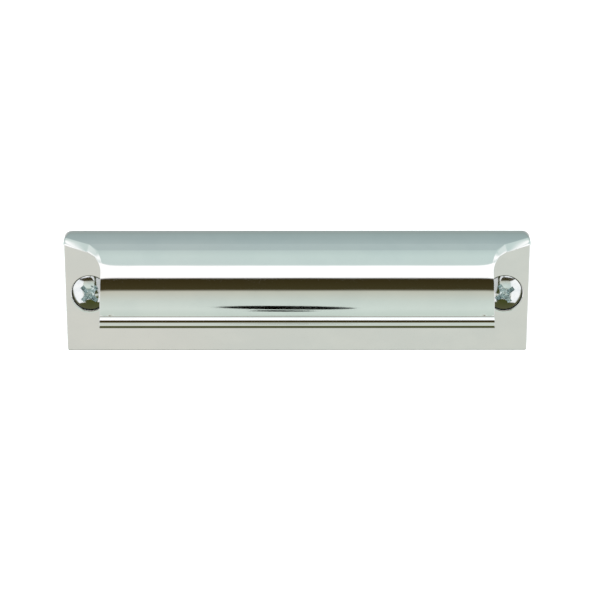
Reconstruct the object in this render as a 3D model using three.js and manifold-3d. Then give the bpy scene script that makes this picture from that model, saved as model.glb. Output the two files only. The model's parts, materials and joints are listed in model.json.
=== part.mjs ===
// A hooded finger pull: one flat plate whose upper half rises into a curved hood with a beaded lip,
// open below and at both ends, held by two oval-head screws in its flat ears. Millimetres, +Z up.
// The origin is on the plate's back face, midway between the screws. The front faces -Y, and the screws
// point along +Y.
import * as THREE from 'three';
import { mergeVertices } from 'three/addons/utils/BufferGeometryUtils.js';
import Module from 'manifold-3d';

const wasm = await Module();
wasm.setup();

// Plate
const PLATE_WIDTH = 101.6;
const PLATE_TOP = 13.7;
const PLATE_BOTTOM = -13.35;
const PLATE_THICKNESS = 2;
const TOP_CORNER_RADIUS = 1.7;
const BOTTOM_CORNER_RADIUS = 0.4;

// Hood: a shell between two arcs about one centre, which lies behind the plate's front face.
// Projections are distances in front of that face.
const HOOD_LENGTH = 84.3;
const HOOD_OUTER_RADIUS = 20;
const HOOD_WALL = 2;
const HOOD_CENTRE_PROJECTION = -6;
const HOOD_CENTRE_HEIGHT = -5.18;
const ROOT_FILLET_RADIUS = 2.7;
const ARC_STEPS = 18;
const FILLET_STEPS = 6;
const BEAD_STEPS = 5;
const CROWN_STEPS = 3;

// Bead along the hood's lip: a round nose with a flatter crown above it, and a flat underside
// with a tighter arc at each side
const BEAD_NOSE_RADIUS = 1.17;
const BEAD_NOSE_PROJECTION = 13.44;
const BEAD_HEIGHT = -2.88;
const BEAD_CROWN_RADIUS = 3.7;
const BEAD_CROWN_ANGLE = THREE.MathUtils.degToRad(27);
const BEAD_UNDER_RADIUS = 0.65;
const BEAD_UNDER_ANGLE = THREE.MathUtils.degToRad(-20);

// Ears: the flat ends of the plate, where the hood is cut away up to a thin ledge.
// The ledge rises outwards to the plate's end, and an arc joins it to the hood's upright end.
const SHOULDER_RADIUS = 3.5;
const LEDGE_END_HEIGHT = 11.71;
const LEDGE_SLOPE = THREE.MathUtils.degToRad(10.5);

// Screws: No. 8, oval head, 82 degree countersink, cross recess
const SCREW_SPACING = 91;
const HEAD_RADIUS = 3.8;
const DOME_HEIGHT = 1.3;
const COUNTERSINK_HALF_ANGLE = THREE.MathUtils.degToRad(41);
const COUNTERSINK_MOUTH_RADIUS = 4.2;
const SHANK_RADIUS = 2.085;
const THREAD_ROOT_RADIUS = 1.45;
const THREAD_PITCH = 1.7;
const SCREW_LENGTH = 19;
const PLAIN_SHANK_END = 2.5;
const POINT_LENGTH = 4;
const RECESS_REACH = 2.3;
const RECESS_WING_HALF_WIDTH = 0.55;
const RECESS_DEPTH = 2.6;
const RECESS_TAPER = 0.45;
const LEFT_RECESS_TURN = THREE.MathUtils.degToRad(45);
const RIGHT_RECESS_TURN = THREE.MathUtils.degToRad(57);
const LATHE_SEGMENTS = 24;

// How far a cutter runs past the surface that it cuts
const OVERCUT = 1;

const HALF_WIDTH = PLATE_WIDTH / 2;
const HOOD_INNER_RADIUS = HOOD_OUTER_RADIUS - HOOD_WALL;
const FULL_DEPTH = PLATE_THICKNESS + BEAD_NOSE_PROJECTION + BEAD_NOSE_RADIUS;

const frontY = (projection) => -(PLATE_THICKNESS + projection);

const CHROME = { color: 0xd8dcdc, roughness: 0.06, metalness: 1 };
const ZINC = { color: 0xc4ccd0, roughness: 0.16, metalness: 1 };

// Shape (x, y) to world (Y, Z), extruded along +X.
const SECTION_BASIS = new THREE.Matrix4().makeBasis(
  new THREE.Vector3(0, 1, 0), new THREE.Vector3(0, 0, 1), new THREE.Vector3(1, 0, 0));

// Shape (x, y) to world (X, Z), extruded along -Y.
const PLAN_BASIS = new THREE.Matrix4().makeBasis(
  new THREE.Vector3(1, 0, 0), new THREE.Vector3(0, 0, 1), new THREE.Vector3(0, -1, 0));

function toSolid(geometry) {
  const bare = geometry.clone();
  bare.deleteAttribute('normal');
  bare.deleteAttribute('uv');
  const merged = mergeVertices(bare);
  const index = merged.index.array;
  const triangles = [];
  for (let i = 0; i < index.length; i += 3) {
    const [a, b, c] = [index[i], index[i + 1], index[i + 2]];
    if (a !== b && b !== c && c !== a) triangles.push(a, b, c);
  }
  return new wasm.Manifold(new wasm.Mesh({
    numProp: 3,
    vertProperties: new Float32Array(merged.attributes.position.array),
    triVerts: new Uint32Array(triangles),
  }));
}

function toGeometry(solid) {
  const mesh = solid.getMesh();
  const geometry = new THREE.BufferGeometry();
  geometry.setAttribute('position', new THREE.BufferAttribute(mesh.vertProperties, 3));
  geometry.setIndex(new THREE.BufferAttribute(mesh.triVerts, 1));
  geometry.computeVertexNormals();
  return geometry;
}

function extrude(shape, depth, basis) {
  return new THREE.ExtrudeGeometry(shape, { depth, bevelEnabled: false, curveSegments: ARC_STEPS })
    .applyMatrix4(basis);
}

function pointOnArc(centre, radius, angle) {
  return new THREE.Vector2(
    frontY(centre.projection + radius * Math.cos(angle)), centre.height + radius * Math.sin(angle));
}

function arc(centre, radius, from, to, steps) {
  const points = [];
  for (let i = 0; i <= steps; i += 1) {
    points.push(pointOnArc(centre, radius, THREE.MathUtils.lerp(from, to, i / steps)));
  }
  return points;
}

// The centre of an arc of another radius that runs on smoothly from one about this centre.
function tangentCentre(centre, radius, otherRadius, angle) {
  return {
    projection: centre.projection + (radius - otherRadius) * Math.cos(angle),
    height: centre.height + (radius - otherRadius) * Math.sin(angle),
  };
}

// Where two circles cross, as the angle on the first one, on the side of larger height.
function crossingAngle(centre, radius, other, otherRadius) {
  const run = other.projection - centre.projection;
  const rise = other.height - centre.height;
  const gap = Math.hypot(run, rise);
  const spread = Math.acos((radius ** 2 + gap ** 2 - otherRadius ** 2) / (2 * radius * gap));
  return Math.atan2(rise, run) + spread;
}

// The section across the pull: plate, hood and bead in one outline.
function pullSection() {
  const hood = { projection: HOOD_CENTRE_PROJECTION, height: HOOD_CENTRE_HEIGHT };
  const nose = { projection: BEAD_NOSE_PROJECTION, height: BEAD_HEIGHT };
  const crown = tangentCentre(nose, BEAD_NOSE_RADIUS, BEAD_CROWN_RADIUS, BEAD_CROWN_ANGLE);
  const under = tangentCentre(nose, BEAD_NOSE_RADIUS, BEAD_UNDER_RADIUS, BEAD_UNDER_ANGLE);
  const grooveAngle = crossingAngle(hood, HOOD_OUTER_RADIUS, crown, BEAD_CROWN_RADIUS);
  const groove = pointOnArc(hood, HOOD_OUTER_RADIUS, grooveAngle);
  const crownEnd = Math.atan2(groove.y - crown.height, frontY(crown.projection) - groove.x);
  const topAngle = Math.asin((PLATE_TOP - HOOD_CENTRE_HEIGHT) / HOOD_OUTER_RADIUS);
  const innerStart = Math.asin((under.height - HOOD_CENTRE_HEIGHT) / HOOD_INNER_RADIUS);
  const heel = {
    projection: HOOD_CENTRE_PROJECTION + HOOD_INNER_RADIUS * Math.cos(innerStart) + BEAD_UNDER_RADIUS,
    height: under.height,
  };
  const innerEnd = Math.acos((ROOT_FILLET_RADIUS - HOOD_CENTRE_PROJECTION)
    / (HOOD_INNER_RADIUS - ROOT_FILLET_RADIUS));
  const fillet = {
    projection: ROOT_FILLET_RADIUS,
    height: HOOD_CENTRE_HEIGHT + (HOOD_INNER_RADIUS - ROOT_FILLET_RADIUS) * Math.sin(innerEnd),
  };

  return new THREE.Shape([
    new THREE.Vector2(0, PLATE_BOTTOM),
    new THREE.Vector2(frontY(0), PLATE_BOTTOM),
    ...arc(fillet, ROOT_FILLET_RADIUS, Math.PI, innerEnd, FILLET_STEPS),
    ...arc(hood, HOOD_INNER_RADIUS, innerEnd, innerStart, ARC_STEPS).slice(1, -1),
    ...arc(heel, BEAD_UNDER_RADIUS, -Math.PI, -Math.PI / 2, BEAD_STEPS),
    ...arc(under, BEAD_UNDER_RADIUS, -Math.PI / 2, BEAD_UNDER_ANGLE, BEAD_STEPS),
    ...arc(nose, BEAD_NOSE_RADIUS, BEAD_UNDER_ANGLE, BEAD_CROWN_ANGLE, BEAD_STEPS).slice(1),
    ...arc(crown, BEAD_CROWN_RADIUS, BEAD_CROWN_ANGLE, crownEnd, CROWN_STEPS).slice(1),
    ...arc(hood, HOOD_OUTER_RADIUS, grooveAngle, topAngle, ARC_STEPS).slice(1),
    new THREE.Vector2(0, PLATE_TOP),
  ]);
}

// The plate's outline seen from the front, with larger radii at its top corners.
function plateOutline() {
  const shape = new THREE.Shape();
  const bottom = BOTTOM_CORNER_RADIUS;
  const top = TOP_CORNER_RADIUS;
  shape.moveTo(-HALF_WIDTH + bottom, PLATE_BOTTOM);
  shape.lineTo(HALF_WIDTH - bottom, PLATE_BOTTOM);
  shape.absarc(HALF_WIDTH - bottom, PLATE_BOTTOM + bottom, bottom, -Math.PI / 2, 0);
  shape.lineTo(HALF_WIDTH, PLATE_TOP - top);
  shape.absarc(HALF_WIDTH - top, PLATE_TOP - top, top, 0, Math.PI / 2);
  shape.lineTo(-HALF_WIDTH + top, PLATE_TOP);
  shape.absarc(-HALF_WIDTH + top, PLATE_TOP - top, top, Math.PI / 2, Math.PI);
  shape.lineTo(-HALF_WIDTH, PLATE_BOTTOM + bottom);
  shape.absarc(-HALF_WIDTH + bottom, PLATE_BOTTOM + bottom, bottom, Math.PI, 1.5 * Math.PI);
  return shape;
}

// What is cut away in front of the right ear: below the ledge, round the shoulder, past the hood's end.
function earOutline() {
  const shape = new THREE.Shape();
  const hoodEnd = HOOD_LENGTH / 2;
  const ledgeHeight = (x) => LEDGE_END_HEIGHT + (x - HALF_WIDTH) * Math.tan(LEDGE_SLOPE);
  const arcX = hoodEnd + SHOULDER_RADIUS;
  const arcZ = ledgeHeight(arcX) - SHOULDER_RADIUS / Math.cos(LEDGE_SLOPE);
  shape.moveTo(hoodEnd, PLATE_BOTTOM - OVERCUT);
  shape.lineTo(HALF_WIDTH + OVERCUT, PLATE_BOTTOM - OVERCUT);
  shape.lineTo(HALF_WIDTH + OVERCUT, ledgeHeight(HALF_WIDTH + OVERCUT));
  shape.absarc(arcX, arcZ, SHOULDER_RADIUS, Math.PI / 2 + LEDGE_SLOPE, Math.PI);
  return shape;
}

// A countersunk hole: the cone runs through the whole plate and clears the screw all round.
function countersink() {
  const slope = Math.tan(COUNTERSINK_HALF_ANGLE);
  const mouth = COUNTERSINK_MOUTH_RADIUS + OVERCUT * slope;
  const back = COUNTERSINK_MOUTH_RADIUS - PLATE_THICKNESS * slope;
  return new THREE.LatheGeometry([
    new THREE.Vector2(0, frontY(OVERCUT)),
    new THREE.Vector2(mouth, frontY(OVERCUT)),
    new THREE.Vector2(back, 0),
    new THREE.Vector2(back, OVERCUT),
    new THREE.Vector2(0, OVERCUT),
  ], LATHE_SEGMENTS);
}

function pullBody() {
  const section = toSolid(extrude(pullSection(), PLATE_WIDTH, SECTION_BASIS)
    .translate(-HALF_WIDTH, 0, 0));
  const outline = toSolid(extrude(plateOutline(), FULL_DEPTH + 2 * OVERCUT, PLAN_BASIS)
    .translate(0, OVERCUT, 0));
  const ear = toSolid(extrude(earOutline(), FULL_DEPTH, PLAN_BASIS).translate(0, frontY(0), 0));
  const hole = toSolid(countersink());
  return toGeometry(section.intersect(outline)
    .subtract(ear).subtract(ear.mirror([1, 0, 0]))
    .subtract(hole.translate([-SCREW_SPACING / 2, 0, 0]))
    .subtract(hole.translate([SCREW_SPACING / 2, 0, 0])));
}

// Radius and distance along the screw, from the top of its dome to its point.
// The thread is a row of rings, which narrow over the point.
function screwProfile() {
  const domeRadius = (HEAD_RADIUS ** 2 + DOME_HEIGHT ** 2) / (2 * DOME_HEIGHT);
  const domeSpan = Math.asin(HEAD_RADIUS / domeRadius);
  const coneDepth = (HEAD_RADIUS - SHANK_RADIUS) / Math.tan(COUNTERSINK_HALF_ANGLE);
  const tip = SCREW_LENGTH - PLATE_THICKNESS;
  const narrowing = (y) => Math.min(1, (tip - y) / POINT_LENGTH);
  const points = [];
  for (let i = 0; i <= 6; i += 1) {
    const angle = domeSpan * i / 6;
    points.push(new THREE.Vector2(
      domeRadius * Math.sin(angle), frontY(DOME_HEIGHT) + domeRadius * (1 - Math.cos(angle))));
  }
  points.push(new THREE.Vector2(SHANK_RADIUS, frontY(0) + coneDepth));
  points.push(new THREE.Vector2(SHANK_RADIUS, PLAIN_SHANK_END));
  for (let y = PLAIN_SHANK_END; y + THREAD_PITCH < tip; y += THREAD_PITCH) {
    for (const [radius, share] of [
      [THREAD_ROOT_RADIUS, 0.2], [SHANK_RADIUS, 0.45], [SHANK_RADIUS, 0.55], [THREAD_ROOT_RADIUS, 0.8],
    ]) {
      const at = y + share * THREAD_PITCH;
      points.push(new THREE.Vector2(radius * narrowing(at), at));
    }
  }
  points.push(new THREE.Vector2(0, tip));
  return points;
}

// A cross that narrows with depth, wide enough at the front to break through the dome.
function recessCutter(turn) {
  const reach = RECESS_REACH;
  const half = RECESS_WING_HALF_WIDTH;
  const shape = new THREE.Shape([
    [reach, -half], [reach, half], [half, half], [half, reach], [-half, reach], [-half, half],
    [-reach, half], [-reach, -half], [-half, -half], [-half, -reach], [half, -reach], [half, -half],
  ].map(([x, y]) => new THREE.Vector2(x, y)));
  const geometry = new THREE.ExtrudeGeometry(shape, { depth: RECESS_DEPTH, bevelEnabled: false });
  const position = geometry.attributes.position;
  for (let i = 0; i < position.count; i += 1) {
    const scale = THREE.MathUtils.lerp(RECESS_TAPER, 1, position.getZ(i) / RECESS_DEPTH);
    position.setXY(i, position.getX(i) * scale, position.getY(i) * scale);
  }
  return geometry.rotateZ(turn).applyMatrix4(PLAN_BASIS)
    .translate(0, frontY(DOME_HEIGHT) + RECESS_DEPTH, 0);
}

function screw(turn) {
  const blank = toSolid(new THREE.LatheGeometry(screwProfile(), LATHE_SEGMENTS));
  return toGeometry(blank.subtract(toSolid(recessCutter(turn))));
}

function piece(name, geometry, finish, x = 0) {
  const mesh = new THREE.Mesh(geometry, new THREE.MeshStandardMaterial(finish));
  mesh.name = name;
  mesh.position.x = x;
  return mesh;
}

const fingerPull = new THREE.Group();
fingerPull.add(
  piece('pull_body', pullBody(), CHROME),
  piece('screw_left', screw(LEFT_RECESS_TURN), ZINC, -SCREW_SPACING / 2),
  piece('screw_right', screw(RIGHT_RECESS_TURN), ZINC, SCREW_SPACING / 2),
);

export default fingerPull;
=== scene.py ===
"""Looks of the hooded finger pull: fine chrome body, threaded screws, studio light and camera.

Lengths in this file are millimetres until a vertex is made, and metres in Blender. "Projection" is
the distance in front of the plate's front face, which is towards -Y. The body is built as a right
half and mirrored: its front is a sheet over the plan (X, Z), rounded over at every edge.
"""
import json
import math

import bmesh
import bpy
from mathutils import Matrix, Vector


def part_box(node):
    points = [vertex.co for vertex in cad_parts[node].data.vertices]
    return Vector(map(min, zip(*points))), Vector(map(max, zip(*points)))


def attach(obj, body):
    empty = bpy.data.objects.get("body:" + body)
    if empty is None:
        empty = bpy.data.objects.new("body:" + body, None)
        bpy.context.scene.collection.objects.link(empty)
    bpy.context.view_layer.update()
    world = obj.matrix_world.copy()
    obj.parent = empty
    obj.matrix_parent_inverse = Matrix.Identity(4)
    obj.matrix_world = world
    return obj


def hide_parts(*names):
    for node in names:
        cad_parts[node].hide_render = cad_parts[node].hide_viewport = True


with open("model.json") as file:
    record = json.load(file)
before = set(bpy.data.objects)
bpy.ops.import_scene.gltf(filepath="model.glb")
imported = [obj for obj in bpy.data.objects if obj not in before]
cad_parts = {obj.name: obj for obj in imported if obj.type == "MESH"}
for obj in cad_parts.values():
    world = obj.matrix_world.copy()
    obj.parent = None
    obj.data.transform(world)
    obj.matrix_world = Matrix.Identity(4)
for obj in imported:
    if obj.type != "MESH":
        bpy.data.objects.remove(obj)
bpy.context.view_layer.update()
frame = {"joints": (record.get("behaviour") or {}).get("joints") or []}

MM = 0.001

# Plate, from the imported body
BODY_LOW, BODY_HIGH = (corner / MM for corner in map(Vector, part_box("pull_body")))
HALF_WIDTH = BODY_HIGH.x
TOP = BODY_HIGH.z
BOTTOM = BODY_LOW.z
PLATE_THICKNESS = 2.0
TOP_CORNER = 1.7
BOTTOM_CORNER = 0.4

# Hood: outer and inner arcs about one centre, with a fillet at the root
HOOD_OUTER = 20.0
HOOD_INNER = 18.0
HOOD_CENTRE_P = -6.0
HOOD_CENTRE_Z = -5.18
HOOD_END = 42.15
FILLET = 2.7
FILLET_Z = HOOD_CENTRE_Z + math.sqrt((HOOD_INNER - FILLET) ** 2 - (FILLET - HOOD_CENTRE_P) ** 2)

# Bead along the lip: a round nose, a flatter crown above it that a small fillet joins to the hood,
# and a flat underside with a tighter arc at each side
NOSE = 1.17
NOSE_P = -BODY_LOW.y - PLATE_THICKNESS - NOSE
NOSE_Z = -2.88
CROWN = 3.7
CROWN_ANGLE = math.radians(27)
CROWN_P = NOSE_P - (CROWN - NOSE) * math.cos(CROWN_ANGLE)
CROWN_Z = NOSE_Z - (CROWN - NOSE) * math.sin(CROWN_ANGLE)
UNDER = 0.65
UNDER_ANGLE = math.radians(-20)
UNDER_P = NOSE_P + (NOSE - UNDER) * math.cos(UNDER_ANGLE)
UNDER_Z = NOSE_Z + (NOSE - UNDER) * math.sin(UNDER_ANGLE)
GROOVE = 0.6

# Ear curve: where the hood is cut away in plan
SHOULDER = 3.5
LEDGE_SLOPE = math.radians(10.5)
LEDGE_END_Z = 11.71
SHOULDER_X = HOOD_END + SHOULDER
SHOULDER_Z = (LEDGE_END_Z - (HALF_WIDTH - SHOULDER_X) * math.tan(LEDGE_SLOPE)
              - SHOULDER / math.cos(LEDGE_SLOPE))
SHOULDER_SWEEP = math.pi / 2 - LEDGE_SLOPE

# Edges
BACK_ROUND = 0.35
TOP_BACK_ROUND = 0.8
RIM_ROUND = 0.18
CUT_ROUND = 0.12
DRAFT = 0.09                          # how much the ledge's end leans in, per unit of projection
DRAFT_START = 46.0
DUB = 0.26                            # how far buffing has rounded the hood's end down, and over
DUB_LENGTH = 4.0                      # what length

# The polished bevel along the ear curve: its width, and how its projection grows towards the curve
BEVEL_AT_HOOD_END = (0.40, -0.16)
BEVEL_AT_SHOULDER = (1.45, 1.02)
BEVEL_AT_PLATE_END = (1.45, 0.90)
BEVEL_SOFTNESS = 0.03
BEVEL_BLEND = 0.07

# Countersinks: dragged down a little by buffing, with a rim rounded most at the bottom
HOLE_DROP = 0.25
MOUTH_ROUND_TOP = 0.2
MOUTH_ROUND_BOTTOM = 0.8
BACK_ARRIS = 0.12

# Screws: No. 8, oval head, cross recess. Each is built from its head's centre along +Y.
SCREW_AXES = {joint["child"]: Vector(joint["pos_m"]) / MM for joint in frame["joints"]}
HEAD_RADIUS = 3.8
DOME = 1.3
DOME_BALL = (HEAD_RADIUS ** 2 + DOME ** 2) / (2 * DOME)
HEAD_ARRIS = (0.03, 0.07)             # how the head's edge is eased: inwards, and along the screw
NECK_ARRIS = (0.12, 0.10)             # the same where the cone meets the shank
HALF_CONE = math.radians(41)
MOUTH_RADIUS = 4.12
SHANK_RADIUS = 2.085
THREAD_ROOT = 1.45
THREAD_PITCH = 1.7
THREAD_START = 3.5
THREAD_RUN_IN = 1.2                   # length over which the thread grows out of the shank
CORE_RUN_IN = 0.7                     # exponent: the core narrows sooner than the crest grows
THREAD_RIDGE = 0.5                    # share of the pitch that the ridge takes up
THREAD_RIDGE_POWER = 0.9
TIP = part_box("screw_left")[1][1] / MM
POINT_LENGTH = 4.0
POINT_POWER = 0.8                     # exponent: below 1 rounds the point
RECESS_TURN = {"screw_left": math.radians(45), "screw_right": math.radians(57)}
RECESS_DEPTH = 2.2
RECESS_REACH = (1.15, 2.45)           # at the foot, at the mouth
RECESS_HALF_WIDTH = (0.34, 0.50)
RECESS_CHAMFER = (0.30, 0.62)
RECESS_FLARE = 0.20
RECESS_TIP = 0.4                      # height of the cone at the recess's foot
RECESS_SKIN = 0.25                    # depth under the dome at which its walls turn dull
RECESS_LIMIT = 3.2                    # and their greatest distance from the axis

# Camera: aimed a little off the plate's centre, as the object sits in the frame
CAMERA_DISTANCE = 430.0
CAMERA_ELEVATION = math.radians(17)
AIM_RIGHT = 0.63
AIM_DOWN = 1.65
FOCAL_LENGTH = 117.5

# The dark shapes round the camera that the hood mirrors, a little behind it, as
# (right, up, half width, half height, tilt in degrees)
SHAPES_BEHIND = 1.02
CAMERA_SHAPES = [(-4.8, -8.0, 30.5, 17.0, -15.0), (-6.5, -39.0, 14.0, 7.0, -6.0)]

# What surrounds the object: elevation in degrees, from the front (0) over the top (90) to the
# back, and the light that comes from there
STUDIO_BANDS = [
    (-180, (0.50, 0.52, 0.51)),
    (-140, (0.66, 0.68, 0.66)),
    (-90, (0.10, 0.10, 0.05)),
    (-45, (0.07, 0.08, 0.02)),
    (-31, (0.10, 0.12, 0.04)),
    (-24, (0.72, 0.74, 0.68)),
    (-17, (0.75, 0.77, 0.71)),
    (7, (0.68, 0.78, 0.71)),
    (15, (0.76, 0.85, 0.79)),
    (24, (0.70, 0.78, 0.72)),
    (36, (0.63, 0.64, 0.55)),
    (37.5, (0.60, 0.60, 0.50)),
    (38.3, (0.06, 0.05, 0.02)),
    (52.5, (0.04, 0.03, 0.01)),
    (54, (0.12, 0.11, 0.09)),
    (54.8, (1.30, 1.30, 1.30)),
    (70.3, (1.30, 1.30, 1.30)),
    (71.8, (0.68, 0.80, 0.78)),
    (85, (0.67, 0.80, 0.77)),
    (93, (0.60, 0.72, 0.70)),
    (101, (0.49, 0.59, 0.59)),
    (115, (0.41, 0.51, 0.51)),
    (130, (0.36, 0.45, 0.44)),
    (165, (0.36, 0.42, 0.41)),
    (180, (0.50, 0.52, 0.51)),
]
SIDE_BOX_AZIMUTH = (31.0, 35.0)       # where the white boxes beside the camera begin
SIDE_BOX_ELEVATION = (-52.0, 33.0)
SIDE_BOX_END = 76.0
SIDE_BOX_FADES = (2.0, 5.0)           # half widths of its soft edges in elevation, and at its end
SIDE_BOX_WHITE = 1.14
TOP_BOX_WHITE = 1.3
TOP_BOX_ASIDE = (0.27, 0.40)          # where the white boxes above begin, on each direction axis
TOP_BOX_HEIGHT = (0.84, 0.90)
TOP_BOX_AHEAD = (0.10, 0.20)
WARM_FADE = (0.02, -0.09)             # the X of directions between which the left turns warm
WARM_SIDE = 0.03                      # how much redder the light from the left is
COOL_GAIN = 1.01                      # on the green and blue of the bands, all round

FLOOR_HEIGHT = -0.12
FLOOR_SIZE = 6.0
FLOOR_LIGHT_RADIANCE = 1.5

# Which of the body's faces have the duller finish of the back
BACK_FACING = 0.9                     # the least Y of such a face's normal
BACK_SKIN = 0.2                       # how far in front of the wall it can lie

# Mesh fineness
COLUMN_CROWDING = 1.7                 # exponent that crowds the columns towards the hood's ends
BEAD_STEPS = 10
HOOD_ROWS = 18
INNER_ROWS = 14
FILLET_STEPS = 12
CORNER_STEPS = 8
DOME_STEPS = 20
ROUND_STEPS = 6
BEVEL_STEPS = 4
BLEND_STEPS = 4
LEDGE_STEPS = 12
ROWS_BELOW_FILLET = 3
HALF_COLUMNS = 20
HOLE_STEPS = 72
SCREW_STEPS = 72
THREAD_ROWS = 10


def lerp(a, b, t):
    return a + (b - a) * t


def spread(a, b, steps):
    return [lerp(a, b, i / steps) for i in range(steps + 1)]


# ---------------------------------------------------------------- section and plan of the body

def outer_p(z):
    return HOOD_CENTRE_P + math.sqrt(HOOD_OUTER ** 2 - (z - HOOD_CENTRE_Z) ** 2)


def inner_p(z):
    """The hood's inner face, and above its tangent point the front of the root fillet."""
    tangent_z = HOOD_CENTRE_Z + (FILLET_Z - HOOD_CENTRE_Z) * HOOD_INNER / (HOOD_INNER - FILLET)
    if z <= tangent_z:
        return HOOD_CENTRE_P + math.sqrt(HOOD_INNER ** 2 - (z - HOOD_CENTRE_Z) ** 2)
    return FILLET + math.sqrt(max(0.0, FILLET ** 2 - (z - FILLET_Z) ** 2))


def rounding(radius, distance):
    """How far a rounded edge drops below its face, at a distance from the edge."""
    if distance >= radius:
        return 0.0
    return radius - math.sqrt(radius ** 2 - (radius - distance) ** 2)


def rounding_steps(radius):
    """Distances from an edge that step evenly round its quarter circle."""
    return [radius * (1 - math.cos(math.pi / 2 * i / ROUND_STEPS)) for i in range(ROUND_STEPS + 1)]


def ring_distances(width):
    """Distances from the ear curve of the mesh lines that run beside it."""
    edge = rounding_steps(CUT_ROUND)
    bevel = spread(CUT_ROUND, width - BEVEL_BLEND, BEVEL_STEPS)[1:]
    blend = spread(width - BEVEL_BLEND, width + BEVEL_BLEND, BLEND_STEPS)[1:]
    return edge + bevel + blend


def half_columns():
    """Shares of the way out from the middle, closer together towards the end, without the end."""
    return [1 - (i / HALF_COLUMNS) ** COLUMN_CROWDING for i in range(1, HALF_COLUMNS + 1)]


def dub(x, z):
    """How far the hood's outer face is rounded down near its end."""
    near = min(1.0, max(0.0, (x - HOOD_END + DUB_LENGTH) / DUB_LENGTH))
    below = min(1.0, max(0.0, (SHOULDER_Z + SHOULDER - z) / SHOULDER))
    return DUB * near ** 3 * below ** 2


def shoulder_point(sweep, distance):
    """Plan position beside the shoulder arc, whose sweep runs from 0 at the hood's end."""
    reach = SHOULDER + distance
    return SHOULDER_X - reach * math.cos(sweep), SHOULDER_Z + reach * math.sin(sweep)


def shoulder_x(z):
    """The ear curve's X at a height on the hood's end or the shoulder arc."""
    rise = max(0.0, z - SHOULDER_Z)
    return SHOULDER_X - math.sqrt(SHOULDER ** 2 - rise ** 2)


def rim_x(z):
    """The plate's outline at a height on its side or its top corner."""
    rise = min(TOP_CORNER, max(0.0, z - (TOP - TOP_CORNER)))
    return HALF_WIDTH - TOP_CORNER + math.sqrt(TOP_CORNER ** 2 - rise ** 2)


def ledge_end(distance):
    """Where a line beside the ledge meets the plate's outline, and the outline's angle there."""
    z = LEDGE_END_Z
    start_z = LEDGE_END_Z + distance / math.cos(LEDGE_SLOPE)
    for _ in range(20):
        x = rim_x(z)
        z = start_z + (x - HALF_WIDTH) * math.tan(LEDGE_SLOPE)
    return x, z, math.asin(min(1.0, max(0.0, z - (TOP - TOP_CORNER)) / TOP_CORNER))


def ledge_point(distance, fraction=None, inset=None):
    """Plan position beside the ledge: a fraction of the way to the rim, or an inset from it."""
    x, z, rim_angle = ledge_end(distance)
    along = (inset if inset is not None else RIM_ROUND) / math.cos(rim_angle - LEDGE_SLOPE)
    x, z = x - along * math.cos(LEDGE_SLOPE), z - along * math.sin(LEDGE_SLOPE)
    if inset is not None:
        return x, z
    start = shoulder_point(SHOULDER_SWEEP, distance)
    return lerp(start[0], x, fraction), lerp(start[1], z, fraction)


# ---------------------------------------------------------------- mesh helpers

class Sheet:
    """A bmesh that takes vertices as (x, projection, z) in millimetres."""

    def __init__(self):
        self.bm = bmesh.new()
        self.plan = {}                      # each vertex's plan position, before the draft

    def vert(self, x, p, z):
        outward = max(0.0, x - DRAFT_START) / (HALF_WIDTH - DRAFT_START)
        leaned = x - DRAFT * max(0.0, p) * outward
        v = self.bm.verts.new((leaned * MM, -(PLATE_THICKNESS + p) * MM, z * MM))
        self.plan[v] = (x, z)
        return v

    def face(self, *verts):
        corners = [v for i, v in enumerate(verts) if v is not verts[i - 1]]
        if len(corners) > 2:
            self.bm.faces.new(corners)

    def skin(self, *rows):
        for low, high in zip(rows, rows[1:]):
            for i in range(len(low) - 1):
                self.face(low[i], low[i + 1], high[i + 1], high[i])

    def fill(self, *loops):
        """Fills a flat region bounded by closed loops of vertices."""
        edges = []
        for loop in loops:
            for a, b in zip(loop, loop[1:] + loop[:1]):
                edges.append(self.bm.edges.get((a, b)) or self.bm.edges.new((a, b)))
        bmesh.ops.triangle_fill(self.bm, edges=edges, use_beauty=True)


def to_object(bm, name, sharp_degrees):
    """Makes a smooth-shaded object whose flat faces shade flat."""
    bmesh.ops.remove_doubles(bm, verts=bm.verts, dist=1e-7)
    bmesh.ops.dissolve_degenerate(bm, edges=bm.edges, dist=1e-8)
    bmesh.ops.recalc_face_normals(bm, faces=bm.faces)
    mesh = bpy.data.meshes.new(name)
    bm.to_mesh(mesh)
    bm.free()
    piece = bpy.data.objects.new(name, mesh)
    bpy.context.scene.collection.objects.link(piece)
    mesh.shade_smooth()
    mesh.set_sharp_from_angle(angle=math.radians(sharp_degrees))
    weigh = piece.modifiers.new("flat faces shade flat", "WEIGHTED_NORMAL")
    weigh.keep_sharp = True
    return piece


# ---------------------------------------------------------------- the chrome body

class EarRow:
    """A row of mesh points that starts on the ear curve and runs away from it across the bevel."""

    def __init__(self, place, bevel, inset=None):
        self.place = place                  # plan position at a distance from the ear curve
        self.width, self.lean = bevel
        self.inset = inset                  # distance in from the plate's end, near the rim
        self.distances = ring_distances(self.width)
        self.points = [place(d) for d in self.distances]

    def projection(self, distance):
        x, z = self.place(distance)
        hood = outer_p(z) - dub(x, z)
        crease_x, crease_z = self.place(self.width)
        bevel = outer_p(crease_z) - dub(crease_x, crease_z) + self.lean * (self.width - distance)
        soft = max(0.0, 1 - abs(hood - bevel) / BEVEL_SOFTNESS)
        rim_drop = 0.0 if self.inset is None else rounding(RIM_ROUND, self.inset)
        return (min(hood, bevel) - soft ** 2 * BEVEL_SOFTNESS / 4
                - rounding(CUT_ROUND, distance) - rim_drop)


def between(a, b, t):
    return [lerp(one, other, t) for one, other in zip(a, b)]


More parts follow.
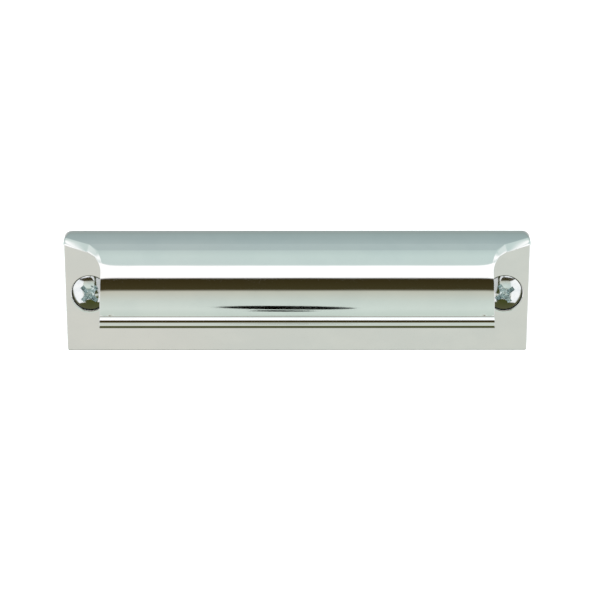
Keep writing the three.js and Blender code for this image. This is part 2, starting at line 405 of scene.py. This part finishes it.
def ear_rows():
    """Rows along the ear curve, from the groove to the plate's end."""
    groove_z = HOOD_CENTRE_Z + HOOD_OUTER * math.sin(groove()[2])
    rows = []
    for z in spread(groove_z, SHOULDER_Z, HOOD_ROWS)[:-1]:
        rows.append(EarRow(lambda d, z=z: (HOOD_END - d, z), BEVEL_AT_HOOD_END))
    for z in shoulder_levels():
        sweep = math.asin(max(0.0, z - SHOULDER_Z) / SHOULDER)
        share = sweep / SHOULDER_SWEEP
        bevel = between(BEVEL_AT_HOOD_END, BEVEL_AT_SHOULDER, share ** 2 * (3 - 2 * share))
        rows.append(EarRow(lambda d, sweep=sweep: shoulder_point(sweep, d), bevel))
    for fraction in spread(0, 1, LEDGE_STEPS)[1:]:
        bevel = between(BEVEL_AT_SHOULDER, BEVEL_AT_PLATE_END, fraction)
        rows.append(EarRow(lambda d, fraction=fraction: ledge_point(d, fraction=fraction), bevel))
    for inset in reversed(rounding_steps(RIM_ROUND)[:-1]):
        rows.append(EarRow(lambda d, inset=inset: ledge_point(d, inset=inset),
                           BEVEL_AT_PLATE_END, inset))
    return rows


def shoulder_levels():
    """Heights shared by the hood's two faces round the shoulder arc, up to the ledge's start."""
    below = spread(SHOULDER_Z, FILLET_Z, ROWS_BELOW_FILLET)[:-1]
    beside = [FILLET_Z + FILLET * math.sin(a) for a in spread(0, math.pi / 2, FILLET_STEPS)]
    return below + beside + [SHOULDER_Z + SHOULDER * math.sin(SHOULDER_SWEEP)]


def groove():
    """The fillet between hood and bead: its centre, and its normals where it meets each of them."""
    far, near = HOOD_OUTER + GROOVE, CROWN + GROOVE
    run, rise = CROWN_P - HOOD_CENTRE_P, CROWN_Z - HOOD_CENTRE_Z
    gap = math.hypot(run, rise)
    on_hood = math.atan2(rise, run) + math.acos((far ** 2 + gap ** 2 - near ** 2) / (2 * far * gap))
    centre_p = HOOD_CENTRE_P + far * math.cos(on_hood)
    centre_z = HOOD_CENTRE_Z + far * math.sin(on_hood)
    return centre_p, centre_z, on_hood, math.atan2(centre_z - CROWN_Z, centre_p - CROWN_P)


def lip_outline():
    """The lip's section from the hood's outer arc to its inner one: (p, z, normal angle)."""
    centre_p, centre_z, on_hood, on_crown = groove()

    def arc(p, z, radius, start, end, steps):
        return [(p + radius * math.cos(a), z + radius * math.sin(a), a)
                for a in spread(start, end, steps)[1:]]

    fillet = [(centre_p - GROOVE * math.cos(a), centre_z - GROOVE * math.sin(a), a)
              for a in spread(on_hood, on_crown, BEAD_STEPS)[1:]]
    heel_p = inner_p(UNDER_Z) + UNDER
    return (fillet + arc(CROWN_P, CROWN_Z, CROWN, on_crown, CROWN_ANGLE, BEAD_STEPS)
            + arc(NOSE_P, NOSE_Z, NOSE, CROWN_ANGLE, UNDER_ANGLE, BEAD_STEPS)
            + arc(UNDER_P, UNDER_Z, UNDER, UNDER_ANGLE, -math.pi / 2, BEAD_STEPS)
            + [(heel_p, UNDER_Z - UNDER, -math.pi / 2)]
            + arc(heel_p, UNDER_Z, UNDER, -math.pi / 2, -math.pi, BEAD_STEPS))


def front_sheet(sheet, ear):
    """The hood's outer face and the ledge. Returns its rows and its edge along the plate's rim."""
    full_rows, rim_rows = [], []
    for row in ear:
        ring = [sheet.vert(x, row.projection(d), z) for (x, z), d in zip(row.points, row.distances)]
        if row.inset is None:
            x, z = row.points[-1]
            full_rows.append(ring + [sheet.vert(x * u, outer_p(z) - dub(x * u, z), z)
                                     for u in half_columns()])
        else:
            rim_rows.append(ring)
    sheet.skin(*full_rows)
    ring_length = len(rim_rows[0])
    sheet.skin(full_rows[-1][:ring_length], *rim_rows)

    # Round the top corner and along the top, stepping inwards from the outline
    corner_z = TOP - TOP_CORNER
    ledge_top = sheet.plan[full_rows[-1][ring_length - 1]][1]
    first_angle = math.asin((ledge_top - corner_z) / (TOP_CORNER - RIM_ROUND))
    angles = spread(first_angle, math.pi / 2, CORNER_STEPS)[1:]
    insets = rounding_steps(RIM_ROUND)
    starts = [row[-1] for row in reversed(rim_rows)] + [full_rows[-1][ring_length - 1]]
    bands = []
    for inset, first in zip(insets, starts):
        reach = TOP_CORNER - inset
        plan = [(HALF_WIDTH - TOP_CORNER + reach * math.cos(a), corner_z + reach * math.sin(a))
                for a in angles]
        plan += [((HALF_WIDTH - TOP_CORNER) * u, TOP - inset) for u in half_columns()]
        bands.append([first] + [sheet.vert(x, outer_p(z) - rounding(RIM_ROUND, inset), z)
                                for x, z in plan])
    sheet.skin(*bands)
    inner_band = bands[-1]
    corner_rows = [full_rows[-1][ring_length - 1:]]
    for i in range(1, len(angles)):
        first = inner_band[i]
        x, z = sheet.plan[first]
        corner_rows.append([first] + [sheet.vert(x * u, outer_p(z), z) for u in half_columns()])
    corner_rows.append(inner_band[len(angles):])
    sheet.skin(*corner_rows)
    rim_edge = rim_rows[-1][:-1] + bands[0]
    return full_rows, rim_rows, rim_edge


def bead_and_inner_face(sheet, groove_row):
    """From the groove round the bead, up the hood's inner face and down the root fillet.

    Returns the rows of the bead and inner face, and those of the fillet behind its top."""
    distances = ring_distances(BEVEL_AT_HOOD_END[0])

    def row(edge_x, place):
        last_x = edge_x - distances[-1]
        ring = [sheet.vert(edge_x - d, *place(rounding(CUT_ROUND, d))) for d in distances]
        return ring + [sheet.vert(last_x * u, *place(0.0)) for u in half_columns()]

    rows = [groove_row]
    for p, z, angle in lip_outline():
        across = (math.cos(angle), math.sin(angle))
        rows.append(row(HOOD_END, lambda drop: (p - drop * across[0], z - drop * across[1])))
    levels = shoulder_levels()[:-1]
    for z in spread(UNDER_Z, SHOULDER_Z, INNER_ROWS)[1:-1] + levels:
        rows.append(row(shoulder_x(z), lambda drop: (inner_p(z) + drop, z)))
    back_rows = [rows[-1]]
    for z in [level for level in reversed(levels[:-1]) if level > FILLET_Z - 1e-9]:
        share = (z - FILLET_Z) / FILLET
        p = FILLET - math.sqrt(max(0.0, FILLET ** 2 - (z - FILLET_Z) ** 2))
        back_rows.append(row(shoulder_x(z), lambda drop: (p - drop * share, z)))
    sheet.skin(*rows)
    sheet.skin(*back_rows)
    return rows, back_rows


def cut_face(sheet, ear, full_rows, rim_rows, rows, back_rows):
    """The face that the ear cut leaves on the hood's end, the shoulder and under the ledge.

    Returns the vertices where it meets the plate's front, from the root to the plate's rim."""
    levels = shoulder_levels()
    hood_rows = len(full_rows) - len(levels) - LEDGE_STEPS
    outer = [row[0] for row in full_rows] + [row[0] for row in rim_rows]
    inner = [row[0] for row in rows]
    bead_count = len(inner) - (len(levels) - 1)

    end_loop = outer[:hood_rows + 1] + inner[1:bead_count + 1][::-1]
    sheet.fill(end_loop)

    foot = [back_rows[-1][0]]
    root_index = hood_rows + ROWS_BELOW_FILLET
    for row in ear[root_index + 1:]:
        x, z = row.points[0]
        drop = 0.0 if row.inset is None else rounding(RIM_ROUND, row.inset)
        foot.append(sheet.vert(x, -drop, z))

    front_strip = inner[bead_count:]
    for k in range(len(front_strip) - 1):
        i = hood_rows + k
        sheet.face(outer[i], outer[i + 1], front_strip[k + 1], front_strip[k])
    back_strip = [row[0] for row in reversed(back_rows)]
    for k in range(len(back_strip) - 1):
        sheet.face(foot[k], foot[k + 1], back_strip[k + 1], back_strip[k])
    top = len(back_strip) - 1
    first = root_index + top
    sheet.face(foot[top], back_strip[top], outer[first], outer[first + 1], foot[top + 1])
    for k in range(top + 1, len(foot) - 1):
        i = root_index + k
        sheet.face(foot[k], outer[i], outer[i + 1], foot[k + 1])
    return foot, outer[-1]


def lower_outline():
    """The plate's outline from the bottom centre to the ledge: (x, z, normal angle)."""
    corner_x, corner_z = HALF_WIDTH - BOTTOM_CORNER, BOTTOM + BOTTOM_CORNER
    points = [(x, BOTTOM, -math.pi / 2) for x in spread(0, corner_x, 4)[:-1]]
    for angle in spread(-math.pi / 2, 0, 6):
        points.append((corner_x + BOTTOM_CORNER * math.cos(angle),
                       corner_z + BOTTOM_CORNER * math.sin(angle), angle))
    points += [(HALF_WIDTH, z, 0.0) for z in spread(corner_z, LEDGE_END_Z, 4)[1:]]
    return points


def rim_normal(x, z):
    """A point of the plate's upper outline with the angle of its outward normal."""
    corner_x, corner_z = HALF_WIDTH - TOP_CORNER, TOP - TOP_CORNER
    if z <= corner_z:
        return x, z, 0.0
    if x <= corner_x:
        return x, z, math.pi / 2
    return x, z, math.atan2(z - corner_z, x - corner_x)


def countersink(sheet):
    """The right screw hole. Returns its loops on the plate's front and back."""
    axis = SCREW_AXES["right_screw"]
    turn = math.pi / 2 - HALF_CONE

    def loop(place):
        verts = []
        for a in spread(0, 2 * math.pi, HOLE_STEPS)[:-1]:
            radius, p = place(lerp(MOUTH_ROUND_BOTTOM, MOUTH_ROUND_TOP, (1 + math.sin(a)) / 2))
            verts.append(sheet.vert(axis.x + radius * math.cos(a), p,
                                    axis.z - HOLE_DROP + radius * math.sin(a)))
        return verts

    loops = [loop(lambda rim: (MOUTH_RADIUS + rim * (math.tan(turn / 2) - math.sin(angle)),
                               rim * (math.cos(angle) - 1)))
             for angle in spread(0, turn, ROUND_STEPS)]
    back_radius = MOUTH_RADIUS - PLATE_THICKNESS * math.tan(HALF_CONE)
    loops.append(loop(lambda rim: (back_radius, BACK_ARRIS - PLATE_THICKNESS)))
    loops.append(loop(lambda rim: (back_radius + BACK_ARRIS / 2, -PLATE_THICKNESS)))
    sheet.skin(*[verts + verts[:1] for verts in loops])
    return loops[0], loops[-1]


def make_body():
    sheet = Sheet()
    ear = ear_rows()
    full_rows, rim_rows, rim_edge = front_sheet(sheet, ear)
    rows, back_rows = bead_and_inner_face(sheet, full_rows[0])
    foot, ledge_tip = cut_face(sheet, ear, full_rows, rim_rows, rows, back_rows)
    front_hole, back_hole = countersink(sheet)

    # Rounded front rim of the plate, below the ledge; its last column is the foot of the cut face
    outline = lower_outline()
    insets = rounding_steps(RIM_ROUND)
    bands = []
    for k, inset in enumerate(insets):
        p = -rounding(RIM_ROUND, inset)
        band = [sheet.vert(x - inset * math.cos(a), p, z - inset * math.sin(a))
                for x, z, a in outline[:-1]]
        bands.append(band + [foot[-1 - k]])
    sheet.skin(*bands)

    # Side wall and rounded back rim, all round the half outline
    around = outline + [rim_normal(*sheet.plan[v]) for v in rim_edge[1:]]
    back_bands = []
    for turn in spread(0, math.pi / 2, ROUND_STEPS):
        band = []
        for x, z, a in around:
            radius = lerp(BACK_ROUND, TOP_BACK_ROUND, max(0.0, math.sin(a)))
            inset = radius * (1 - math.cos(turn))
            rise = radius * (1 - math.sin(turn))
            band.append(sheet.vert(x - inset * math.cos(a), rise - PLATE_THICKNESS,
                                   z - inset * math.sin(a)))
        back_bands.append(band)
    sheet.skin(*back_bands)
    wall_back = back_bands[0]
    wall_front = bands[0] + rim_edge[1:]
    tip = len(outline) - 1
    for i in range(len(around) - 1):
        if i == tip:
            sheet.face(wall_back[i], wall_back[i + 1], wall_front[i + 1], ledge_tip, wall_front[i])
        else:
            sheet.face(wall_back[i], wall_back[i + 1], wall_front[i + 1], wall_front[i])

    # Flat front and back of the plate, each with the screw hole
    ear_edge = list(reversed(foot[:len(foot) - len(insets) + 1]))
    sheet.fill(bands[-1][:-1] + ear_edge + back_rows[-1][1:], front_hole)
    sheet.fill(back_bands[-1], back_hole)

    bm = sheet.bm
    copy = bmesh.ops.duplicate(bm, geom=bm.verts[:] + bm.edges[:] + bm.faces[:])
    for v in copy["geom"]:
        if isinstance(v, bmesh.types.BMVert):
            v.co.x = -v.co.x
    flipped = [f for f in copy["geom"] if isinstance(f, bmesh.types.BMFace)]
    bmesh.ops.reverse_faces(bm, faces=flipped)
    loose = [e for e in bm.edges if not e.link_faces]
    bmesh.ops.delete(bm, geom=loose, context="EDGES")
    return to_object(bm, "chrome_body", sharp_degrees=34)


# ---------------------------------------------------------------- the screws

def narrowing(y):
    """The share of its full radius that the thread has at a depth: less than 1 over the point."""
    return min(1.0, max(0.0, (TIP - y) / POINT_LENGTH) ** POINT_POWER)


def head_profile():
    """Radius and depth from the dome's centre to where the thread starts."""
    face = -PLATE_THICKNESS
    cone_end = face + (HEAD_RADIUS - SHANK_RADIUS) / math.tan(HALF_CONE)
    dome = [(DOME_BALL * math.sin(a), face - DOME + DOME_BALL * (1 - math.cos(a)))
            for a in spread(0, math.asin(HEAD_RADIUS / DOME_BALL), DOME_STEPS)[1:]]
    cone = [(HEAD_RADIUS - HEAD_ARRIS[0], face + HEAD_ARRIS[1]),
            (SHANK_RADIUS + NECK_ARRIS[0], cone_end - NECK_ARRIS[1])]
    shank = [(SHANK_RADIUS, y) for y in spread(cone_end + NECK_ARRIS[1], THREAD_START, 3)]
    return dome + cone + shank


def thread_height(share):
    """How far up the thread's flank a point is, over one pitch: a narrow ridge on a wide root."""
    distance = abs(share - 0.5) * 2
    return max(0.0, 1 - distance / THREAD_RIDGE) ** THREAD_RIDGE_POWER


def screw_blank():
    """The screw without its recess, as one closed bmesh about its own axis, in millimetres."""
    bm = bmesh.new()

    def ring(radius, y):
        return [bm.verts.new((radius * math.cos(a), y, radius * math.sin(a)))
                for a in spread(0, 2 * math.pi, SCREW_STEPS)[:-1]]

    rings = [ring(radius, y) for radius, y in head_profile()]
    centre = bm.verts.new((0, -PLATE_THICKNESS - DOME, 0))
    for a, b in zip(rings[0], rings[0][1:] + rings[0][:1]):
        bm.faces.new((centre, a, b))
    for low, high in zip(rings, rings[1:]):
        for i in range(SCREW_STEPS):
            j = (i + 1) % SCREW_STEPS
            bm.faces.new((low[i], high[i], high[j], low[j]))

    # The helix: each row climbs one pitch in a turn, so the last column meets the row a pitch on
    count = math.ceil((TIP - THREAD_START) / THREAD_PITCH + 1) * THREAD_ROWS
    rows = []
    for i in range(-THREAD_ROWS, count + 1):
        row = []
        for j in range(SCREW_STEPS):
            y = THREAD_START + THREAD_PITCH * (i / THREAD_ROWS + j / SCREW_STEPS)
            y = min(max(y, THREAD_START), TIP)
            grown = min(1.0, (y - THREAD_START) / THREAD_RUN_IN)
            core = lerp(SHANK_RADIUS, THREAD_ROOT, grown ** CORE_RUN_IN)
            crest = lerp(core, SHANK_RADIUS, grown)
            height = thread_height((i / THREAD_ROWS) % 1.0)
            radius = lerp(core, crest, height) * narrowing(y)
            a = 2 * math.pi * j / SCREW_STEPS
            row.append(bm.verts.new((radius * math.cos(a), y, radius * math.sin(a))))
        rows.append(row)
    for k in range(len(rows) - 1):
        for i in range(SCREW_STEPS):
            j = (i + 1) % SCREW_STEPS
            step = THREAD_ROWS if j == 0 else 0
            if k + 1 + step < len(rows):
                bm.faces.new((rows[k][i], rows[k + 1][i], rows[k + 1 + step][j], rows[k + step][j]))
    bmesh.ops.remove_doubles(bm, verts=bm.verts, dist=1e-4)
    bmesh.ops.dissolve_degenerate(bm, edges=bm.edges, dist=1e-5)
    return bm


def recess_cutter():
    """A tapered cross with a flared mouth and a cone at its foot, on the screw's axis."""
    bm = bmesh.new()
    face = -PLATE_THICKNESS - DOME
    levels = [(face - RECESS_FLARE, 1.0, 2 * RECESS_FLARE), (face + RECESS_FLARE, 1.0, 0.0),
              (face + RECESS_DEPTH, 0.0, 0.0)]
    rings = []
    for y, opened, flare in levels:
        reach = lerp(*RECESS_REACH, opened) + flare
        half = lerp(*RECESS_HALF_WIDTH, opened) + flare
        chamfer = lerp(*RECESS_CHAMFER, opened)
        arm = [(reach, -half), (reach, half), (half + chamfer, half), (half, half + chamfer)]
        ring = []
        for quarter in range(4):
            c, s = math.cos(quarter * math.pi / 2), math.sin(quarter * math.pi / 2)
            ring += [bm.verts.new((a * c - b * s, y, a * s + b * c)) for a, b in arm]
        rings.append(ring)
    tip = bm.verts.new((0, face + RECESS_DEPTH + RECESS_TIP, 0))
    bm.faces.new(rings[0])
    for i in range(len(rings[0])):
        j = (i + 1) % len(rings[0])
        for high, low in zip(rings, rings[1:]):
            bm.faces.new((high[i], high[j], low[j], low[i]))
        bm.faces.new((rings[-1][i], rings[-1][j], tip))
    bmesh.ops.recalc_face_normals(bm, faces=bm.faces)
    return bm


def make_screw(node, body):
    """One wood screw: the recess is cut and its walls marked dull, then it moves to its hole."""
    parts = []
    for bm in (screw_blank(), recess_cutter()):
        mesh = bpy.data.meshes.new(node + "_blank")
        bmesh.ops.recalc_face_normals(bm, faces=bm.faces)
        bm.to_mesh(mesh)
        bm.free()
        parts.append(bpy.data.objects.new(node + "_blank", mesh))
        bpy.context.scene.collection.objects.link(parts[-1])
    blank, cutter = parts
    cut = blank.modifiers.new("recess", "BOOLEAN")
    cut.operation = "DIFFERENCE"
    cut.solver = "EXACT"
    cut.object = cutter
    depsgraph = bpy.context.evaluated_depsgraph_get()
    bm = bmesh.new()
    bm.from_mesh(blank.evaluated_get(depsgraph).to_mesh())
    for part in parts:
        bpy.data.objects.remove(part)

    ball_centre = Vector((0, DOME_BALL - PLATE_THICKNESS - DOME, 0))
    for face in bm.faces:
        spot = face.calc_center_median()
        under_dome = (spot - ball_centre).length < DOME_BALL - RECESS_SKIN
        in_recess = (math.hypot(spot.x, spot.z) < RECESS_LIMIT
                     and spot.y < RECESS_DEPTH - PLATE_THICKNESS)
        face.material_index = int(under_dome and in_recess)

    turn = Matrix.Rotation(RECESS_TURN[node], 4, "Y")
    place = Matrix.Translation(SCREW_AXES[body]) @ turn
    bm.transform(Matrix.Scale(MM, 4) @ place)
    screw = to_object(bm, node + "_oval_head", sharp_degrees=32)
    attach(screw, body)
    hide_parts(node)
    return screw


# ---------------------------------------------------------------- materials

class Shader:
    """A material's node tree, with its Principled shader and short calls for its nodes."""

    def __init__(self, name):
        self.material = bpy.data.materials.new(name)
        self.material.use_nodes = True
        self.tree = self.material.node_tree
        self.surface = self.tree.nodes["Principled BSDF"]
        self.place = self.tree.nodes.new("ShaderNodeTexCoord").outputs["Object"]

    def node(self, kind, settings=None, **inputs):
        node = self.tree.nodes.new("ShaderNode" + kind)
        for key, value in (settings or {}).items():
            setattr(node, key, value)
        for key, value in inputs.items():
            self.plug(node.inputs[key.replace("_", " ")], value)
        return node

    def plug(self, socket, value):
        if isinstance(value, bpy.types.NodeSocket):
            self.tree.links.new(value, socket)
        else:
            socket.default_value = value

    def noise(self, scale, stretch=(1, 1, 1), detail=3.0, seed=0.0):
        """Noise in features per millimetre, stretched by axis."""
        spot = self.node("Mapping", Vector=self.place, Scale=[s / MM for s in stretch],
                         Location=(seed, 1.7 * seed, 2.3 * seed))
        return self.node("TexNoise", Vector=spot.outputs[0], Scale=scale, Detail=detail,
                         Roughness=0.55).outputs[0]

    def span(self, value, low, high):
        """Stretches the middle of a noise's range over low to high, with soft ends."""
        return self.node("MapRange", {"interpolation_type": "SMOOTHSTEP"}, Value=value,
                         From_Min=0.35, From_Max=0.65, To_Min=low, To_Max=high).outputs[0]

    def mix(self, factor, a, b):
        node = self.node("Mix", {"data_type": "RGBA"})
        self.plug(node.inputs[0], factor)
        self.plug(node.inputs[6], a)
        self.plug(node.inputs[7], b)
        return node.outputs[2]

    def add(self, a, b):
        node = self.node("Math", {"operation": "ADD"})
        self.plug(node.inputs[0], a)
        self.plug(node.inputs[1], b)
        return node.outputs[0]

    def bump(self, height, distance_mm, strength=1.0, under=None):
        node = self.node("Bump", Height=height, Distance=distance_mm * MM, Strength=strength)
        if under is not None:
            self.plug(node.inputs["Normal"], under)
        return node.outputs[0]


def polished_chrome():
    """Buffed chrome: a mirror with long faint buffing lines, a slow ripple and light smudges."""
    s = Shader("polished_chrome")
    smudge = s.noise(0.12, (1, 1, 1.6), seed=3.0)
    cast = s.noise(0.05, (1, 2, 2), detail=1.0, seed=9.0)
    colour = s.mix(s.span(smudge, 0, 1), (0.800, 0.806, 0.800, 1), (0.770, 0.780, 0.778, 1))
    colour = s.mix(s.span(cast, 0, 0.35), colour, (0.810, 0.800, 0.785, 1))
    s.plug(s.surface.inputs["Base Color"], colour)
    s.plug(s.surface.inputs["Roughness"], s.span(smudge, 0.030, 0.055))
    s.surface.inputs["Metallic"].default_value = 1.0

    ripple = s.noise(0.09, (0.35, 1.3, 1.3), detail=1.0, seed=5.0)
    lines = s.noise(2.2, (0.02, 1, 1), detail=2.0, seed=1.0)
    normal = s.bump(ripple, 0.012)
    normal = s.bump(lines, 0.0007, under=normal)
    s.plug(s.surface.inputs["Normal"], normal)
    return s.material


def plated_back():
    """The unpolished back: a dull plated casting with a fine pebbled skin and rub marks."""
    s = Shader("plated_back")
    skin = s.noise(2.4, detail=4.0, seed=2.0)
    stain = s.noise(0.10, detail=3.0, seed=7.0)
    rub = s.noise(0.9, (0.08, 1, 1), detail=2.0, seed=4.0)
    colour = s.mix(s.span(stain, 0, 1), (0.60, 0.61, 0.61, 1), (0.49, 0.50, 0.50, 1))
    s.plug(s.surface.inputs["Base Color"], colour)
    roughness = s.add(s.span(stain, 0.30, 0.42), s.span(rub, -0.06, 0.05))
    s.plug(s.surface.inputs["Roughness"], roughness)
    s.surface.inputs["Metallic"].default_value = 1.0
    normal = s.bump(skin, 0.030)
    s.plug(s.surface.inputs["Normal"], s.bump(rub, 0.006, under=normal))
    return s.material


def bright_zinc():
    """Blue-white zinc plate on the screws, a little uneven and dulled in patches."""
    s = Shader("bright_zinc")
    patch = s.noise(0.8, detail=3.0, seed=6.0)
    grain = s.noise(5.0, detail=3.0, seed=8.0)
    colour = s.mix(s.span(patch, 0, 1), (0.80, 0.82, 0.82, 1), (0.72, 0.75, 0.77, 1))
    s.plug(s.surface.inputs["Base Color"], colour)
    roughness = s.add(s.span(patch, 0.05, 0.10), s.span(grain, 0.0, 0.03))
    s.plug(s.surface.inputs["Roughness"], roughness)
    s.surface.inputs["Metallic"].default_value = 1.0
    normal = s.bump(patch, 0.008)
    s.plug(s.surface.inputs["Normal"], s.bump(grain, 0.0012, under=normal))
    return s.material


def recess_zinc():
    """The recess walls: the same plate, duller than the head and slightly scored."""
    s = Shader("recess_zinc")
    patch = s.noise(1.5, detail=3.0, seed=4.0)
    grain = s.noise(7.0, detail=3.0, seed=5.0)
    colour = s.mix(s.span(patch, 0, 1), (0.86, 0.93, 0.94, 1), (0.70, 0.79, 0.81, 1))
    s.plug(s.surface.inputs["Base Color"], colour)
    roughness = s.add(s.span(patch, 0.22, 0.34), s.span(grain, 0.0, 0.06))
    s.plug(s.surface.inputs["Roughness"], roughness)
    s.surface.inputs["Metallic"].default_value = 1.0
    s.plug(s.surface.inputs["Normal"], s.bump(grain, 0.010))
    return s.material


def floor_paint():
    """Matt white studio floor with a trace of mottling."""
    s = Shader("floor_paint")
    mottle = s.noise(0.01, detail=3.0)
    colour = s.mix(mottle, (0.93, 0.93, 0.93, 1), (0.96, 0.96, 0.96, 1))
    s.plug(s.surface.inputs["Base Color"], colour)
    s.surface.inputs["Roughness"].default_value = 0.9
    return s.material


# ---------------------------------------------------------------- studio and camera

def studio_air():
    """What the chrome mirrors: bands by elevation, and white boxes beside and above the camera."""
    world = bpy.data.worlds.new("studio")
    bpy.context.scene.world = world
    world.use_nodes = True
    nodes, links = world.node_tree.nodes, world.node_tree.links
    nodes.clear()

    def math_node(operation, *values):
        node = nodes.new("ShaderNodeMath")
        node.operation = operation
        for socket, value in zip(node.inputs, values):
            if isinstance(value, bpy.types.NodeSocket):
                links.new(value, socket)
            else:
                socket.default_value = value
        return node.outputs[0]

    def window(value, start, end):
        """0 up to the start and 1 from the end on, with a soft edge between, either way round."""
        node = nodes.new("ShaderNodeMapRange")
        node.interpolation_type = "SMOOTHSTEP"
        links.new(value, node.inputs["Value"])
        node.inputs["From Min"].default_value = start
        node.inputs["From Max"].default_value = end
        return node.outputs[0]

    def mix(factor, a, b):
        """From one colour to a grey."""
        node = nodes.new("ShaderNodeMix")
        node.data_type = "RGBA"
        links.new(factor, node.inputs[0])
        links.new(a, node.inputs[6])
        node.inputs[7].default_value = (b, b, b, 1)
        return node.outputs[2]

    direction = nodes.new("ShaderNodeSeparateXYZ")
    links.new(nodes.new("ShaderNodeTexCoord").outputs["Generated"], direction.inputs[0])
    x, y, z = direction.outputs
    forward = math_node("MULTIPLY", y, -1.0)
    elevation = math_node("ARCTAN2", z, forward)
    aside = math_node("DEGREES", math_node("ARCTAN2", math_node("ABSOLUTE", x), forward))
    level = math_node("ADD", math_node("POWER", x, 2.0), math_node("POWER", y, 2.0))
    ahead = math_node("SQRT", level)
    height = math_node("DEGREES", math_node("ARCTAN2", z, ahead))

    ramp = nodes.new("ShaderNodeValToRGB")
    stops = ramp.color_ramp.elements
    while len(stops) > 1:
        stops.remove(stops[-1])
    for degrees, colour in STUDIO_BANDS:
        stop = stops.new(degrees / 360 + 0.5)
        stop.color = (*colour, 1)
    stops.remove(stops[0])
    links.new(math_node("MULTIPLY_ADD", elevation, 1 / (2 * math.pi), 0.5), ramp.inputs[0])

    def overlap(*windows):
        product = windows[0]
        for other in windows[1:]:
            product = math_node("MULTIPLY", product, other)
        return product

    low, high = SIDE_BOX_ELEVATION
    fade, end_fade = SIDE_BOX_FADES
    beside = overlap(window(height, low - fade, low + fade),
                     window(height, high + fade, high - fade),
                     window(aside, *SIDE_BOX_AZIMUTH),
                     window(aside, SIDE_BOX_END + end_fade, SIDE_BOX_END - end_fade))
    above = overlap(window(math_node("ABSOLUTE", x), *TOP_BOX_ASIDE), window(z, *TOP_BOX_HEIGHT),
                    window(forward, *TOP_BOX_AHEAD))
    warm = math_node("MULTIPLY_ADD", window(x, *WARM_FADE), WARM_SIDE, 1.0)
    tinted = nodes.new("ShaderNodeVectorMath")
    tinted.operation = "MULTIPLY"
    tint = nodes.new("ShaderNodeCombineXYZ")
    links.new(warm, tint.inputs[0])
    tint.inputs[1].default_value = tint.inputs[2].default_value = COOL_GAIN
    links.new(ramp.outputs[0], tinted.inputs[0])
    links.new(tint.outputs[0], tinted.inputs[1])
    light = mix(beside, tinted.outputs[0], SIDE_BOX_WHITE)
    light = mix(above, light, TOP_BOX_WHITE)
    seen = nodes.new("ShaderNodeLightPath").outputs["Is Camera Ray"]
    background = nodes.new("ShaderNodeBackground")
    links.new(mix(seen, light, 1.0), background.inputs["Color"])
    links.new(background.outputs[0], nodes.new("ShaderNodeOutputWorld").inputs[0])


def floor_light():
    """A wide soft light overhead that whitens the floor and stays out of the reflections."""
    light = bpy.data.lights.new("floor_light", "AREA")
    light.size = FLOOR_SIZE
    light.energy = FLOOR_LIGHT_RADIANCE * math.pi * FLOOR_SIZE ** 2
    lamp = bpy.data.objects.new("floor_light", light)
    bpy.context.scene.collection.objects.link(lamp)
    lamp.location.z = FLOOR_SIZE / 2
    lamp.visible_camera = lamp.visible_glossy = False


def make_camera():
    data = bpy.data.cameras.new("camera")
    data.lens = FOCAL_LENGTH
    data.sensor_width = 36.0
    data.clip_start = 0.01
    camera = bpy.data.objects.new("camera", data)
    bpy.context.scene.collection.objects.link(camera)
    away = Vector((0, -math.cos(CAMERA_ELEVATION), math.sin(CAMERA_ELEVATION)))
    up = Vector((0, math.sin(CAMERA_ELEVATION), math.cos(CAMERA_ELEVATION)))
    centre = Vector((0, -PLATE_THICKNESS, 0))
    camera.location = (centre + away * CAMERA_DISTANCE) * MM
    aim = (centre + Vector((AIM_RIGHT, 0, 0)) - up * AIM_DOWN) * MM
    camera.rotation_euler = (aim - camera.location).to_track_quat("-Z", "Y").to_euler()
    bpy.context.scene.camera = camera
    return camera


def make_lens(camera):
    """The dark camera, which the hood mirrors as a thin smear."""
    bm = bmesh.new()
    for right, up, half_width, half_height, tilt in CAMERA_SHAPES:
        place = (Matrix.Translation((right * MM, up * MM, 0))
                 @ Matrix.Rotation(math.radians(tilt), 4, "Z")
                 @ Matrix.Diagonal((half_width * MM, half_height * MM, 1, 1)))
        bmesh.ops.create_circle(bm, cap_ends=True, segments=48, radius=1, matrix=place)
    mesh = bpy.data.meshes.new("lens")
    bm.to_mesh(mesh)
    bm.free()
    lens = bpy.data.objects.new("lens", mesh)
    bpy.context.scene.collection.objects.link(lens)
    lens.rotation_euler = camera.rotation_euler
    lens.location = camera.location * SHAPES_BEHIND
    s = Shader("lens_black")
    s.surface.inputs["Base Color"].default_value = (0.002, 0.002, 0.001, 1)
    s.surface.inputs["Roughness"].default_value = 0.8
    s.surface.inputs["Specular IOR Level"].default_value = 0.0
    mesh.materials.append(s.material)
    lens.visible_camera = lens.visible_diffuse = lens.visible_shadow = False


def make_floor():
    bm = bmesh.new()
    bmesh.ops.create_grid(bm, x_segments=1, y_segments=1, size=FLOOR_SIZE / 2)
    mesh = bpy.data.meshes.new("floor")
    bm.to_mesh(mesh)
    bm.free()
    floor = bpy.data.objects.new("floor", mesh)
    bpy.context.scene.collection.objects.link(floor)
    floor.location.z = FLOOR_HEIGHT
    mesh.materials.append(floor_paint())
    floor.visible_glossy = False


body = make_body()
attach(body, "pull")
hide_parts("pull_body")
body.data.materials.append(polished_chrome())
body.data.materials.append(plated_back())
for face in body.data.polygons:
    if face.normal.y > BACK_FACING and face.center.y > -BACK_SKIN * MM:
        face.material_index = 1

head_zinc, dull_zinc = bright_zinc(), recess_zinc()
for node, ridden in (("screw_left", "left_screw"), ("screw_right", "right_screw")):
    screw = make_screw(node, ridden)
    screw.data.materials.append(head_zinc)
    screw.data.materials.append(dull_zinc)

studio_air()
make_lens(make_camera())
make_floor()
floor_light()
bpy.context.scene.view_settings.view_transform = "Standard"
